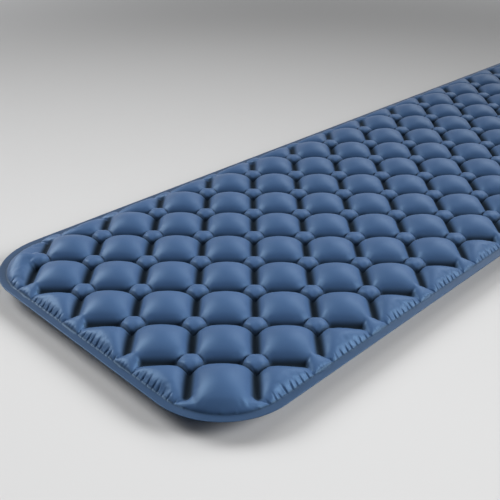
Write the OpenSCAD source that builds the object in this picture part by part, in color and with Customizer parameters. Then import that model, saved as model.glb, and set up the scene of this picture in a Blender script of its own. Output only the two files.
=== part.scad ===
// Inflatable sleeping pad: two formed sheets welded along a diagonal lattice and round a flat
// flange, with a two-stage flat valve on the pillow in one far corner.
// Origin at the middle of the footprint, on the surface that the pad lies on. +Y runs along the pad.

/* [Cells] */
// Diagonal of one square cell, which is the spacing of the weld crossings along the pad
cell_diagonal = 128; // [120:2:150]
// Half diagonals across the pad, an odd number
halves_across = 9; // [5:2:11]
// Half diagonals along the pad, an odd number
halves_along = 29; // [9:2:29]
// Height of a pillow above the weld plane
pillow_h = 27; // [24:0.5:36]
// Width of the flat crown of a pillow
crown_w = 40; // [30:1:46]
// Width of the channel between two pillows
channel_w = 18; // [12:0.5:20]
// Height of the small dome at a weld crossing
dome_h = 10; // [4:0.5:16]

/* [Edge] */
// Height of the triangular pillows along the edge
edge_pillow_h = 20; // [12:0.5:26]
// Distance of their crest from the outer lattice line
edge_crest = 17; // [10:1:24]
// Height of the necks that run between them to the flange
neck_h = 8; // [4:0.5:12]
// Width of the flat welded flange
flange_w = 13; // [8:0.5:20]
// Distance from the outer lattice line to the flange
edge_margin = 4.5; // [2:0.5:8]
// Outer radius of the pad's corners
corner_r = 120; // [100:1:130]
// Thickness of one sheet at a weld
sheet_t = 0.4; // [0.3:0.1:1]

/* [Valve base] */
// Bore of the base, which the deflate plug closes
base_bore_d = 26; // [22:0.5:28]
// Diameter of the base's weld flange
weld_flange_d = 50; // [46:1:54]
// Thickness of the weld flange
weld_flange_t = 1.2; // [0.8:0.1:2]
// Wall of the collar
collar_wall = 4; // [3:0.5:5]
// Height of the collar above the sheet
collar_h = 5.5; // [5:0.5:8]
// Wall of the spigot that goes through the sheet
spigot_wall = 2; // [1.5:0.1:3]
// Depth of the spigot below the sheet
spigot_depth = 7; // [4:0.5:10]
// Floor left below the air space under the valve
pocket_floor = 1; // [0.5:0.1:3]

/* [Deflate plug] */
// How far the lid reaches past the collar
lid_overhang = 1; // [0.5:0.1:2]
// Thickness of the lid
lid_t = 2; // [1.6:0.1:3]
// Depth of the plug's skirt below the lid
skirt_depth = 7.2; // [6:0.1:9]
// Wall of the skirt
skirt_wall = 2.8; // [2.2:0.1:3]
// Radial room between the skirt and the base's bore
skirt_room = 0.4; // [0.3:0.05:0.6]
// How much the skirt narrows towards its end
skirt_taper = 0.6; // [0.3:0.1:1]
// Cord diameter of the plug's seal
plug_seal_d = 1.8; // [1.4:0.1:2]
// Height of the plug's seal above the sheet
plug_seal_z = 3.6; // [3.2:0.1:3.8]
// Bore of the inflation port
port_d = 14; // [12:0.5:15]
// Wall of the inflation port
port_wall = 1.6; // [1.2:0.1:2]
// Height of the port above the lid
port_h = 3; // [2.6:0.1:5]
// Depth of the port's valve seat below the lid
seat_depth = 4.2; // [3.5:0.1:5]
// Number of spokes under the port
spoke_count = 3; // [3:1:6]
// Width and height of a spoke
spoke_w = 1.6; // [1.2:0.1:2.2]
// Diameter of the hub that guides the flap's stem
hub_d = 5; // [4:0.5:6]

/* [Inflate cap] */
// How far the cap reaches past the port
cap_overhang = 2.4; // [2:0.1:4]
// Thickness of the cap
cap_t = 1.6; // [1.2:0.1:2.4]
// Depth of the cap's plug
cap_plug_depth = 3; // [2.6:0.1:3.4]
// Wall of the cap's plug
cap_plug_wall = 2.8; // [2:0.1:4]
// Radial room between the cap's plug and the port
cap_room = 0.25; // [0.2:0.05:0.4]
// How much the cap's plug narrows towards its end
cap_taper = 0.3; // [0.2:0.05:0.4]
// Cord diameter of the cap's seal
cap_seal_d = 1.4; // [1:0.1:1.6]

/* [Tethers] */
// Width of the rings that hold the tethers
ring_w = 2.4; // [1.8:0.1:3]
// Thickness of the rings
ring_t = 1.5; // [1:0.1:1.6]
// Width of a strap
strap_w = 9; // [6:0.5:12]
// Thickness of a strap
strap_t = 1.6; // [1.2:0.1:1.6]
// How far a strap stands off the rim of its lid
strap_reach = 2; // [1.5:0.1:4]
// Step in a neck that its ring sits on
ring_step = 0.6; // [0.4:0.1:0.8]
// Length of a pull tab
tab_l = 7; // [5:0.5:9]
// Width of a pull tab
tab_w = 10; // [7:0.5:12]

/* [Check flap] */
// Thickness of the flap
flap_t = 0.8; // [0.6:0.1:1.2]
// How far the flap opens
flap_lift = 2.5; // [1.5:0.1:2.5]
// Diameter of the flap's stem
stem_d = 1.9; // [1.5:0.1:2.2]
// Height of the stem's barb
barb_h = 1; // [0.6:0.1:1.2]

/* [Clearances] */
// Room between pieces that move apart
seat_gap = 0.2; // [0.15:0.05:0.3]
// Room round a strap's hinge barrel in its cradle
barrel_room = 0.12; // [0.1:0.01:0.2]
// Room round a seal, towards the bore that it closes
seal_room = 0.15; // [0.1:0.05:0.2]
// Room between pieces that are pushed together
fit_gap = 0.05; // [0.02:0.01:0.1]
// Room round the spigot in the sheet
hole_room = 0.3; // [0.1:0.05:0.5]
// Margin of flat sheet round the weld flange
seat_margin = 2; // [1:0.5:4]

/* [Hidden] */
$fn = 64;

// Lattice: node (i, j) is a weld crossing where i + j is even and the middle of a cell where it is odd
half = cell_diagonal / 2;
nw = halves_across;
nl = halves_along;
DIRS = [[1, 0], [0, 1], [-1, 0], [0, -1]];
foot_in = channel_w / sqrt(2);
crown_reach = crown_w / sqrt(2);
seat_reach = (weld_flange_d / 2 + seat_margin) * sqrt(2);
valve_i = 1;
valve_j = nl - 1;

// The flange's inner line: straight runs outside the lattice, joined by arcs
rim_r = corner_r - flange_w;
arc_in = rim_r - edge_margin;
arc_step = 20;
strip_angle = asin(channel_w / 2 / rim_r);
outer_steps = 5;

// Heights of the valve's pieces, above the crown of its pillow
crown_z = 2 * pillow_h;
valve_xy = [(valve_i - nw / 2) * half, (valve_j - nl / 2) * half];
bore_r = base_bore_d / 2;
collar_r = bore_r + collar_wall;
lid_r = collar_r + lid_overhang;
lid_z = collar_h + seat_gap;
lid_top = lid_z + lid_t;
port_r = port_d / 2;
port_top = lid_top + port_h;
cap_z = port_top + seat_gap;
port_outer_r = port_r + port_wall;
cap_r = port_outer_r + cap_overhang;
flap_seat_z = lid_z - seat_depth;
hub_top = flap_seat_z + spoke_w;
collar_neck_r = collar_r - ring_step;
port_neck_r = port_outer_r - ring_step;
plug_hinge_y = lid_r + strap_reach + strap_t;
cap_hinge_y = cap_r + strap_reach + strap_t;
skirt_r = bore_r - skirt_room;
skirt_inner_r = skirt_r - skirt_wall;
cap_plug_r = port_r - cap_room;
tab_ribs = 3;
rib_t = 0.5;
rib_w = 0.8;
rib_inset = 2;
lid_lap = 1;
cut_past = 1;

function place(i, j) = [(i - nw / 2) * half, (j - nl / 2) * half];
function lift(p, z) = [p.x, p.y, z];
function is_cell(i, j) = (i + j) % 2 == 1;
function inside(i, j) = i > 0 && i < nw && j > 0 && j < nl;
function side_count(k) = k % 2 == 0 ? nw : nl;

// A point by a side of the pad: b along the side, counter-clockwise, and a inwards from the lattice line
function by_side(k, b, a, z) =
    let (d = DIRS[k], start = place(k == 1 || k == 2 ? nw : 0, k > 1 ? nl : 0))
    [start.x + b * d.x - a * d.y, start.y + b * d.y + a * d.x, z];

// Place of the flange's inner line at b on side k, inwards from the lattice line
function rim_in(k, b) =
    let (q = min(b, side_count(k) * half - b))
    q >= arc_in ? -edge_margin : arc_in - sqrt(rim_r ^ 2 - (arc_in - q) ^ 2);
function rim_point(k, b) = by_side(k, b, rim_in(k, b), sheet_t);

// A point on the flange's inner corner arc, by its angle from side k's start or end
function arc_point(k, at_end, angle) =
    let (b = arc_in - rim_r * sin(angle), a = arc_in - rim_r * cos(angle))
    by_side(k, at_end ? side_count(k) * half - b : b, a, sheet_t);

// Along side k, b of the lattice node (i, j)
function along(k, i, j) = half * [i, j, nw - i, nl - j][k];

// Foot of the cell (i, j) towards its crossing in direction d
function foot(i, j, d) =
    let (ci = i + DIRS[d].x, cj = j + DIRS[d].y, side = (d + 1) % 4)
    inside(ci, cj) ? lift(place(ci, cj) - foot_in * DIRS[d], sheet_t)
    : inside(i, j) ? let (b = along(side, i, j))
        by_side(side, b, rim_in(side, b) + edge_margin + foot_in, neck_h)
    : edge_foot(i, j, d);

// Foot of an edge cell (i, j) towards the next crossing along its side
function edge_foot(i, j, d) =
    let (
        k = j == 0 ? 0 : i == nw ? 1 : j == nl ? 2 : 3,
        onward = d == k,
        b = along(k, i, j) + (onward ? half : -half),
        at_corner = b < half / 2 || b > (side_count(k) - 0.5) * half
    )
    at_corner ? arc_point(k, onward, 45 - strip_angle) : rim_point(k, b + (onward ? -foot_in : foot_in));

// A full pillow: four sloping sides and a flat crown, without the side towards a corner that has no weld
function open_side(i, j) = i == nw - 1 && j == 1 ? 3 : i == 1 && j == nl - 1 ? 1 : -1;
function crown_points(i, j, seat) =
    let (reach = seat && i == valve_i && j == valve_j ? seat_reach : crown_reach)
    [for (d = [0:3]) lift(place(i, j) + reach * DIRS[d], pillow_h)];
function pillow(i, j, seat) =
    let (f = [for (d = [0:3]) foot(i, j, d)], c = crown_points(i, j, seat))
    concat(
        [[c[0], c[1], c[2]], [c[0], c[2], c[3]]],
        [for (d = [0:3]) let (e = (d + 1) % 4) each d == open_side(i, j)
            ? corner_bulge(d, f[d], f[e], c[d], c[e])
            : [[f[d], f[e], c[e]], [f[d], c[e], c[d]]]]
    );

// The side of a corner pillow that swells out to the flange's arc
function corner_bulge(d, f1, f2, c1, c2) =
    let (
        k = (d + 1) % 4,
        m = (k + 1) % 4,
        r1 = rim_point(k, (side_count(k) - 1) * half + foot_in),
        r2 = rim_point(m, half - foot_in),
        mid = arc_point(m, false, 45)
    )
    [[f1, r1, c1], [c1, r1, mid], [c1, mid, c2], [c2, mid, r2], [c2, r2, f2]];

// The small dome at a crossing inside the pad
function dome(i, j) =
    let (q = [for (d = [0:3]) lift(place(i, j) + foot_in * DIRS[d], sheet_t)])
    [for (d = [0:3]) [q[d], q[(d + 1) % 4], lift(place(i, j), dome_h)]];

// The flat weld strip across the lattice square whose lower corner is (i, j)
function strip(i, j) =
    let (q = (i + j) % 2 == 0
        ? [foot(i + 1, j, 2), foot(i + 1, j, 1), foot(i, j + 1, 0), foot(i, j + 1, 3)]
        : [foot(i, j, 0), foot(i + 1, j + 1, 3), foot(i + 1, j + 1, 2), foot(i, j, 1)])
    [[q[0], q[1], q[2]], [q[0], q[2], q[3]]];
function has_strip(i, j) = !(i == nw - 1 && j == 0) && !(i == 0 && j == nl - 1);

// Along a side: crossings at these counts, and edge cells at the others
function first_corner_welded(k) = k % 2 == 0;
function edge_cells(k) = [for (m = [first_corner_welded(k) ? 1 : 2:2:side_count(k) - 1]) m];
function edge_crossings(k) = [for (m = [first_corner_welded(k) ? 2 : 1:2:side_count(k) - 1]) m];
function edge_node(k, m) = [[m, 0], [nw, m], [nw - m, nl], [0, nl - m]][k];

// The flange's inner line along one edge cell
function cell_rim(k, m) =
    let (
        n = edge_node(k, m),
        from_corner = m == 1,
        to_corner = m == side_count(k) - 1
    )
    concat(
        [edge_foot(n.x, n.y, (k + 2) % 4)],
        from_corner ? [arc_point(k, false, arc_step), arc_point(k, false, 0)] : [],
        to_corner ? [arc_point(k, true, 0), arc_point(k, true, arc_step)] : [],
        [edge_foot(n.x, n.y, k)]
    );

// A triangular pillow on the edge, and the neck between two of them
function edge_pillow(k, m) =
    let (
        n = edge_node(k, m),
        base = concat(cell_rim(k, m), [foot(n.x, n.y, (k + 1) % 4)]),
        last = len(base) - 1,
        crest = by_side(k, m * half, max(edge_crest, rim_in(k, m * half) + edge_crest), edge_pillow_h)
    )
    [for (p = [0:last]) [base[p], base[p == last ? 0 : p + 1], crest]];
function neck(k, m) =
    let (
        b = m * half,
        n = edge_node(k, m),
        back = rim_point(k, b - foot_in),
        ahead = rim_point(k, b + foot_in),
        inner = foot(n.x - DIRS[k].y, n.y + DIRS[k].x, (k + 3) % 4),
        top = by_side(k, b, rim_in(k, b) + edge_margin, neck_h)
    )
    [[back, ahead, top], [ahead, inner, top], [inner, back, top]];

// The flange: its inner line, its outline and the flat ring between them
function side_rim(k) =
    let (last = side_count(k) - 1)
    concat(
        first_corner_welded(k) ? [] : [rim_point(k, half - foot_in)],
        [for (m = edge_cells(k)) each cell_rim(k, m)],
        first_corner_welded(k)
            ? [rim_point(k, last * half + foot_in), arc_point((k + 1) % 4, false, 45)]
            : []
    );
function flange_outline(z) =
    [for (k = [0:3], s = [0:outer_steps])
        let (
            angle = 45 - 90 * s / outer_steps,
            inset = corner_r - edge_margin - flange_w,
            b = inset - corner_r * sin(angle + 45),
            a = inset - corner_r * cos(angle + 45)
        )
        by_side(k, b, a, z)];
function gap_between(p, q) = norm(p - q);
function nearest(p, list, best = 0, k = 1) =
    k >= len(list) ? best
    : nearest(p, list, gap_between(p, list[k]) < gap_between(p, list[best]) ? k : best, k + 1);
function flange_ring(rim, outline) =
    let (
        count = len(outline),
        partner = [for (p = rim) nearest(p, outline)],
        last = len(rim) - 1
    )
    concat(
        [for (p = [0:last]) [rim[p == last ? 0 : p + 1], rim[p], outline[partner[p]]]],
        [for (p = [0:last])
            let (next = p == last ? 0 : p + 1, steps = (partner[next] - partner[p] + count) % count)
            for (s = [0:1:steps - 1])
                [outline[(partner[p] + s) % count], outline[(partner[p] + s + 1) % count], rim[next]]]
    );
function flange_body(low, high) =
    let (last = len(low) - 1)
    concat(
        [for (p = [1:last - 1]) [low[0], low[p + 1], low[p]]],
        [for (p = [0:last]) let (q = p == last ? 0 : p + 1)
            each [[low[p], low[q], high[q]], [low[p], high[q], high[p]]]]
    );

// All the triangles of one formed sheet, standing on the weld plane
function sheet_triangles(seat) =
    let (
        rim = [for (k = [0:3]) each side_rim(k)],
        high = flange_outline(sheet_t)
    )
    concat(
        [for (i = [1:nw - 1], j = [1:nl - 1]) each is_cell(i, j) ? pillow(i, j, seat) : dome(i, j)],
        [for (i = [0:nw - 1], j = [0:nl - 1]) if (has_strip(i, j)) each strip(i, j)],
        [for (k = [0:3], m = edge_cells(k)) each edge_pillow(k, m)],
        [for (k = [0:3], m = edge_crossings(k)) each neck(k, m)],
        flange_ring(rim, high),
        flange_body(flange_outline(0), high)
    );

module formed_sheet(seat) {
    triangles = sheet_triangles(seat);
    polyhedron(
        points = [for (t = triangles) each t],
        faces = [for (k = [0:len(triangles) - 1]) [3 * k, 3 * k + 2, 3 * k + 1]],
        convexity = 10
    );
}

// Puts a piece of the valve on the crown of its pillow
module on_valve() {
    translate([valve_xy.x, valve_xy.y, crown_z]) children();
}

// A bar of a strap's width along Y, from y1 to y2 and from z1 to z2
module strap_bar(y1, y2, z1, z2, width = strap_w) {
    translate([-width / 2, y1, z1]) cube([width, y2 - y1, z2 - z1]);
}

// A flat tab past the radius r, with raised grip ribs and a round end
module pull_tab(r, z, t) {
    straight = tab_l - tab_w / 2;
    pitch = straight / tab_ribs;
    translate([0, r, z]) {
        strap_bar(-lid_lap, straight, 0, t, tab_w);
        translate([0, straight, 0]) cylinder(d = tab_w, h = t);
        for (rib = [1:tab_ribs])
            translate([-tab_w / 2 + rib_inset, rib * pitch + lid_lap, t])
                cube([tab_w - 2 * rib_inset, rib_w, rib_t]);
    }
}

// A round bar along X on the hinge line at y and z
module hinge_bar(y, z, d) {
    translate([-strap_w, y, z]) rotate([0, 90, 0]) cylinder(d = d, h = 2 * strap_w);
}

// A flat ring round a neck of radius r, its top at z, with an ear that ends in a cradle on the hinge line
module tether_ring(r, y, z) {
    difference() {
        translate([0, 0, z - ring_t]) union() {
            cylinder(r = r + fit_gap + ring_w, h = ring_t);
            strap_bar(0, y, 0, ring_t);
        }
        translate([0, 0, z - ring_t - cut_past]) cylinder(r = r + fit_gap, h = ring_t + 2 * cut_past);
        hinge_bar(y, z, strap_t + 2 * barrel_room);
    }
}

// A strap from the lid of radius r and height z, which ends in a barrel on the hinge line at y and axis_z
module lid_strap(r, y, z, axis_z) {
    strap_bar(r - lid_lap, y + strap_t / 2, z, z + strap_t);
    strap_bar(y - strap_t / 2, y + strap_t / 2, axis_z, z + strap_t / 2);
    intersection() {
        hinge_bar(y, axis_z, strap_t);
        strap_bar(y - strap_t, y + strap_t, axis_z - strap_t, axis_z + strap_t);
    }
}

module seal_ring(reach, d, z) {
    translate([0, 0, z]) rotate_extrude() translate([reach - d / 2, 0]) circle(d = d, $fn = 32);
}

module top_sheet() {
    color("#56789c") difference() {
        translate([0, 0, pillow_h]) formed_sheet(true);
        translate([valve_xy.x, valve_xy.y, pillow_h + pocket_floor])
            cylinder(r = bore_r + spigot_wall + hole_room, h = pillow_h);
    }
}

module bottom_sheet() {
    color("#4f6f92") translate([0, 0, pillow_h]) mirror([0, 0, 1]) formed_sheet(false);
}

module valve_base() {
    spigot_r = bore_r + spigot_wall;
    color("#2b3138") on_valve() rotate_extrude() polygon([
        [bore_r, -spigot_depth],
        [spigot_r, -spigot_depth],
        [spigot_r, 0],
        [weld_flange_d / 2, 0],
        [weld_flange_d / 2, weld_flange_t],
        [collar_r, weld_flange_t],
        [collar_r, collar_h - ring_t],
        [collar_neck_r, collar_h - ring_t],
        [collar_neck_r, collar_h],
        [bore_r, collar_h]
    ]);
}

module plug_tether() {
    color("#2b3138") on_valve() rotate([0, 0, 180]) tether_ring(collar_neck_r, plug_hinge_y, collar_h);
}

module deflate_plug() {
    groove_r = bore_r - seal_room - plug_seal_d - fit_gap;
    groove_h = plug_seal_d / 2 + fit_gap;
    skirt_end = lid_z - skirt_depth;
    slope = skirt_taper / skirt_depth;
    function skirt_at(z) = skirt_r - (lid_z - z) * slope;
    hub_r = hub_d / 2;
    color("#343b43") on_valve() {
        difference() {
            union() {
                rotate_extrude() polygon([
                    [port_r, flap_seat_z],
                    [port_r, port_top],
                    [port_neck_r, port_top],
                    [port_neck_r, port_top - ring_t],
                    [port_outer_r, port_top - ring_t],
                    [port_outer_r, lid_top],
                    [lid_r, lid_top],
                    [lid_r, lid_z],
                    [skirt_r, lid_z],
                    [skirt_at(plug_seal_z + groove_h), plug_seal_z + groove_h],
                    [groove_r, plug_seal_z + groove_h],
                    [groove_r, plug_seal_z - groove_h],
                    [skirt_at(plug_seal_z - groove_h), plug_seal_z - groove_h],
                    [skirt_at(skirt_end), skirt_end],
                    [skirt_inner_r, skirt_end],
                    [skirt_inner_r, lid_z],
                    [port_outer_r, lid_z],
                    [port_outer_r, flap_seat_z]
                ]);
                translate([0, 0, flap_seat_z]) cylinder(r = hub_r, h = spoke_w);
                for (s = [0:spoke_count - 1])
                    rotate([0, 0, 90 + s * 360 / spoke_count])
                        translate([hub_r / 2, -spoke_w / 2, flap_seat_z])
                            cube([port_r + port_wall / 2 - hub_r / 2, spoke_w, spoke_w]);
            }
            translate([0, 0, flap_seat_z - cut_past])
                cylinder(d = stem_d + seat_gap, h = spoke_w + 2 * cut_past);
        }
        pull_tab(lid_r, lid_z, strap_t);
        rotate([0, 0, 180]) lid_strap(lid_r, plug_hinge_y, lid_z, collar_h);
    }
}

module plug_seal() {
    color("#c9d2d8") on_valve() seal_ring(bore_r - seal_room, plug_seal_d, plug_seal_z);
}

module check_flap() {
    flap_r = (port_outer_r + skirt_inner_r) / 2 - seat_gap;
    flap_top = flap_seat_z - seat_gap / 2;
    barb_z = hub_top + flap_lift + seat_gap / 2;
    color("#d8dde0") on_valve() {
        translate([0, 0, flap_top - flap_t]) cylinder(r = flap_r, h = flap_t);
        translate([0, 0, flap_top - flap_t / 2]) cylinder(d = stem_d, h = barb_z - flap_top + flap_t);
        translate([0, 0, barb_z]) cylinder(d1 = 2 * stem_d, d2 = stem_d, h = barb_h);
    }
}

module cap_tether() {
    color("#343b43") on_valve() tether_ring(port_neck_r, cap_hinge_y, port_top);
}

module inflate_cap() {
    seal_z = cap_z - cap_plug_depth / 2;
    groove_r = port_r - cap_room - cap_seal_d - fit_gap;
    groove_h = cap_seal_d / 2 + fit_gap;
    plug_end = cap_z - cap_plug_depth;
    slope = cap_taper / cap_plug_depth;
    function plug_at(z) = cap_plug_r - (cap_z - z) * slope;
    color("#3c444d") on_valve() {
        rotate_extrude() polygon([
            [0, cap_z + cap_t],
            [cap_r, cap_z + cap_t],
            [cap_r, cap_z],
            [cap_plug_r, cap_z],
            [plug_at(seal_z + groove_h), seal_z + groove_h],
            [groove_r, seal_z + groove_h],
            [groove_r, seal_z - groove_h],
            [plug_at(seal_z - groove_h), seal_z - groove_h],
            [plug_at(plug_end), plug_end],
            [cap_plug_r - cap_plug_wall, plug_end],
            [cap_plug_r - cap_plug_wall, cap_z],
            [0, cap_z]
        ]);
        rotate([0, 0, 180]) pull_tab(cap_r, cap_z, cap_t);
        lid_strap(cap_r, cap_hinge_y, cap_z, port_top);
    }
}

module cap_seal() {
    color("#c9d2d8") on_valve()
        seal_ring(port_r - cap_room, cap_seal_d, cap_z - cap_plug_depth / 2);
}

top_sheet();
bottom_sheet();
valve_base();
plug_tether();
deflate_plug();
plug_seal();
check_flap();
cap_tether();
inflate_cap();
cap_seal();
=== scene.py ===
import math

import bpy
import bmesh
import numpy as np
from mathutils import Matrix, Vector


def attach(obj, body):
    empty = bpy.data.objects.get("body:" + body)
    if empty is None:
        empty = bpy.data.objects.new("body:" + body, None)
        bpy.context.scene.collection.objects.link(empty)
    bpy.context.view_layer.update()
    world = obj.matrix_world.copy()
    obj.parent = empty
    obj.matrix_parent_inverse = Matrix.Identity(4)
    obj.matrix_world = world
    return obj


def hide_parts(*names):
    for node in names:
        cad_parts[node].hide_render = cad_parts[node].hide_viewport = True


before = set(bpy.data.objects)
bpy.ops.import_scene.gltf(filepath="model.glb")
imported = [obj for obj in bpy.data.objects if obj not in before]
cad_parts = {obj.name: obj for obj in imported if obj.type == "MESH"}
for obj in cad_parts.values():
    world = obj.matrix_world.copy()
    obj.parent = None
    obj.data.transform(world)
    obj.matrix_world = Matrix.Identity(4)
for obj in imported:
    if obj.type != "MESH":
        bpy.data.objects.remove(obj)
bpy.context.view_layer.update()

# Lattice of the welds: half a cell's diagonal, how many halves fit, and the grid of the film
HALF = 0.064
ACROSS = 9
ALONG = 29
SIDE = HALF * math.sqrt(2)
GRID = 16
STEP = HALF / GRID

# Outline, weld plane and film
MARGIN = 0.0045
FLANGE = 0.013
FLANGE_RINGS = 3
OUTER_RADIUS = 0.120
RIM_RADIUS = OUTER_RADIUS - FLANGE
WELD_PLANE = 0.027
FILM = 0.0004
PILLOW = 0.027
WELD_HALF = 0.0029
WELD_STOP = 0.0204
CREASE = WELD_STOP / math.sqrt(2)

# Reach of the corners, counted in halves of a diagonal
OPEN_BAND = 0.3
ROUND_REACH = 2
BESIDE_CORNER = 1.1

# Small lengths of the grid, and the distance that stands for no weld nearby
SNAP_REACH = STEP * 0.6
SHORTEST = STEP / 4
SAME_POINT = STEP / 5
SLACK = 1e-4
NUDGE = 1e-5
SPECK = 1e-6
SPECK_AREA = 1e-9
NO_WELD = 1.0

# Form of the pillows, and how the film is solved and swollen
ROUNDNESS = 2.05
STEEP = 0.6
CROWN_POWER = 1.2
MOST_FULL = 1.1
MIDDLE_CELL = (5, 14)
SOLVER_STEPS = 260
SWELL_START = 0.94
SWELL_STEPS = 14
CLOTH = {
    "vertex_group_mass": "welds",
    "quality": 5,
    "mass": 0.05,
    "tension_stiffness": 40,
    "compression_stiffness": 40,
    "shear_stiffness": 20,
    "bending_stiffness": 1.5,
    "tension_damping": 2,
    "compression_damping": 2,
    "shear_damping": 2,
    "air_damping": 8,
    "use_pressure": True,
    "uniform_pressure_force": 60,
    "shrink_min": -0.02,
}

# Corner pillows
CORNER_FALL = 0.55
FALL_RUN = 0.55
CREST_RISE = 0.12
CREST_WIDTH = 0.30
CREST_START = (0.85, 1.3)
CORNER_END = (1.9, 2.1)
EVEN_STEPS = 24
EVEN_SHARE = 0.5
EVEN_BAND = (0.008, 0.018)
RIM_SLACK = 0.0005

# Domes at the crossings
DOME = 0.0155
DOME_NEAR = 0.0165
DOME_TURN = 1.2
DOME_SNAP = STEP * 0.24
DOME_CREASE = 0.0060
CREASE_SPREAD = 0.8
CREASE_RISE = 0.015
CORNER_DOME = 0.0195
JOIN_TURN = 0.5
JOINED = 0.1
RIDGE_DROP = 0.3

# Necks at the crossings on the edge
NECK = 0.0150
NECK_RUN = 0.016
NECK_CLEAR = WELD_HALF * 1.5
NECK_TAPER = 1.5
NECK_FLAT = 1.5
NECK_BLEND = 0.006
NECK_RISE = 0.011
NECK_REACH = 0.040
NECK_ROUND = 0.5
TAIL = 0.0090
TAIL_HALF = 0.021
TAIL_RISE = 0.010
TAIL_FLOOR = 0.2
OPEN_RISE = 0.010

# Puckers at the flange, with places along the rim counted in its steps
RIM_POINTS = 120
RIM_STEP = 0.001
PUCKER_SEED = 5
LEAST_PUCKERS = 2
PUCKER_CLEAR = 15
PUCKER_PITCH = 11.5
PUCKER_JITTER = 1.2
PUCKER_DEPTH = 0.0020
PUCKER_DEPTHS = (0.75, 1.15)
END_DEPTH = 0.65
DEPTH_GAIN = 0.7
PUCKER_REACHES = (0.8, 1.25)
PUCKER_LEANS = (-0.2, 0.2)
SMOOTH_AFTER = 0.55
SMOOTH_BEFORE = 0.45
NECK_PUCKERS = (-7, 0, 7)
NECK_PUCKER_JITTER = 1
NECK_PUCKER_DEPTH = 0.25 * PUCKER_DEPTH
NECK_PUCKER_REACH = 0.5
NECK_PUCKER_LEAN = 0.03
GATHER_BAND = 0.024
PUCKER_SPAN = 0.036
PUCKER_START = 0.0012
PUCKER_FULL = 0.002
PUCKER_FADE = 0.0038
NOTCH_WIDTH = 0.0012
LIP_WIDTH = 0.0045
LIP_SHARE = 0.10
PUCKER_PUSH = 0.9
# Width of the painted shade along each pucker's fold
FOLD_SHADE_WIDTH = 0.0011
FINE_BAND = (-0.017, 0.001)

# Marks on the film that its finish reads: the welds and flange, and the painted shade at the flange
# seam, in the weld valleys and round the domes
WELD_BAND = (0.0024, 0.0042)
FLANGE_BAND = (-0.001, 0.0015)
# Painted shade along the crease where the pillows meet the flange
SEAM_SHADE_PLACE = 0.0003
SEAM_SHADE_WIDTH = 0.0014
# Painted shade in the weld valleys: the band beside the welds, and its fade at the flange and at
# the domes
VALLEY_SHADE_BAND = (0.003, 0.0110)
VALLEY_SHADE_RIM = (0.001, 0.008)
VALLEY_SHADE_END = 0.003
# Painted shade along the crease round each dome and in the pit at each weld end
CREASE_SHADE = 0.95
CREASE_SHADE_WIDTH = 0.0023
PIT_SHADE_WIDTH = 0.0035

# Valve seat, underside, and how many corners tell the closing face from the film's own faces
VALVE = (-0.224, 0.864)
SEAT_RADIUS = 0.027
SEAT_FADE = 0.013
SEAT_CLEAR = 0.00015
BORE_RADIUS = 0.0153
BORE_FLOOR = 0.028
BORE_SNAP = STEP * 0.27
UNDER_FULL = 1.07
GROUND_ROUND = 0.0016
CLOSING_CORNERS = 8

# Pressed lines in the weld strips
LINE_CLEAR = 0.004
LINE_LENGTH = SIDE - 2 * WELD_STOP - LINE_CLEAR
LINE_WIDTH = 0.0022
LINE_HEIGHT = 0.0005
RIB_WIDTH = 0.0012
RIB_HEIGHT = 0.0007
RIBS = 8
RIB_PART = 0.46

# Finish of the film
FABRIC = (0.053, 0.110, 0.234)
UNDERSIDE = (0.048, 0.100, 0.212)
# Near-black blue painted into the weld valleys and the dome creases as shade
VALLEY_SHADE_COLOUR = (0.006, 0.009, 0.014)
FABRIC_TONES = (0.93, 1.07)
FLANGE_TONE = 0.50
# Darkening of the painted shade in the crease at the flange, and how much of it shows
SEAM_SHADE = 0.20
SEAM_SHADE_COVER = 0.9
# Darkening of the painted shade in the pucker folds, and how much of it shows
FOLD_SHADE = 0.38
FOLD_SHADE_COVER = 0.6
# The pressed lines' own darker tone, deepened to the shade of the valleys they lie in: partly
# painted shade
PRESSED_TONE_AND_SHADE = 0.35
FILM_GLOSS = 0.50
FILM_GLOSS_TINT = (0.35, 0.65, 1.0, 1)
FILM_ROUGH = (0.42, 0.49)
VALLEY_ROUGH = 0.95
THREAD_SCALE = 560
THREAD_WANDER = 0.4
FABRIC_TONE_SCALE = 14
FABRIC_TONE_DETAIL = 4
WEAVE_BUMP = 0.10
WEAVE_DEPTH = 0.0002

# Finish of the moulded pieces: colour, smoothest and roughest place, depth of the grain
MOULDED = {
    "valve_plastic": ((0.028, 0.034, 0.042), 0.38, 0.50, 0.00006),
    "plug_plastic": ((0.040, 0.048, 0.058), 0.34, 0.46, 0.00006),
    "tether_rubber": ((0.030, 0.034, 0.040), 0.58, 0.72, 0.00008),
    "silicone": ((0.62, 0.68, 0.71), 0.30, 0.42, 0.00003),
    # Pressed lines: own darker tone deepened by painted valley shade
    "pressed_film": (tuple(c * PRESSED_TONE_AND_SHADE for c in FABRIC), 0.60, 0.75, 0.00004),
}
MOULDED_TONES = (0.85, 1.15)
GRAIN_SCALE = 2600
GRAIN_TONE_SCALE = 160
GRAIN_DETAIL = 3
GRAIN_BUMP = 0.25
SILICONE_CLEAR = 0.25
PRESSED_GLOSS = 0.15

# Numbers of the Mix node's sockets for colours
MIX_COLOURS = (6, 7)
MIX_RESULT = 2

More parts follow.
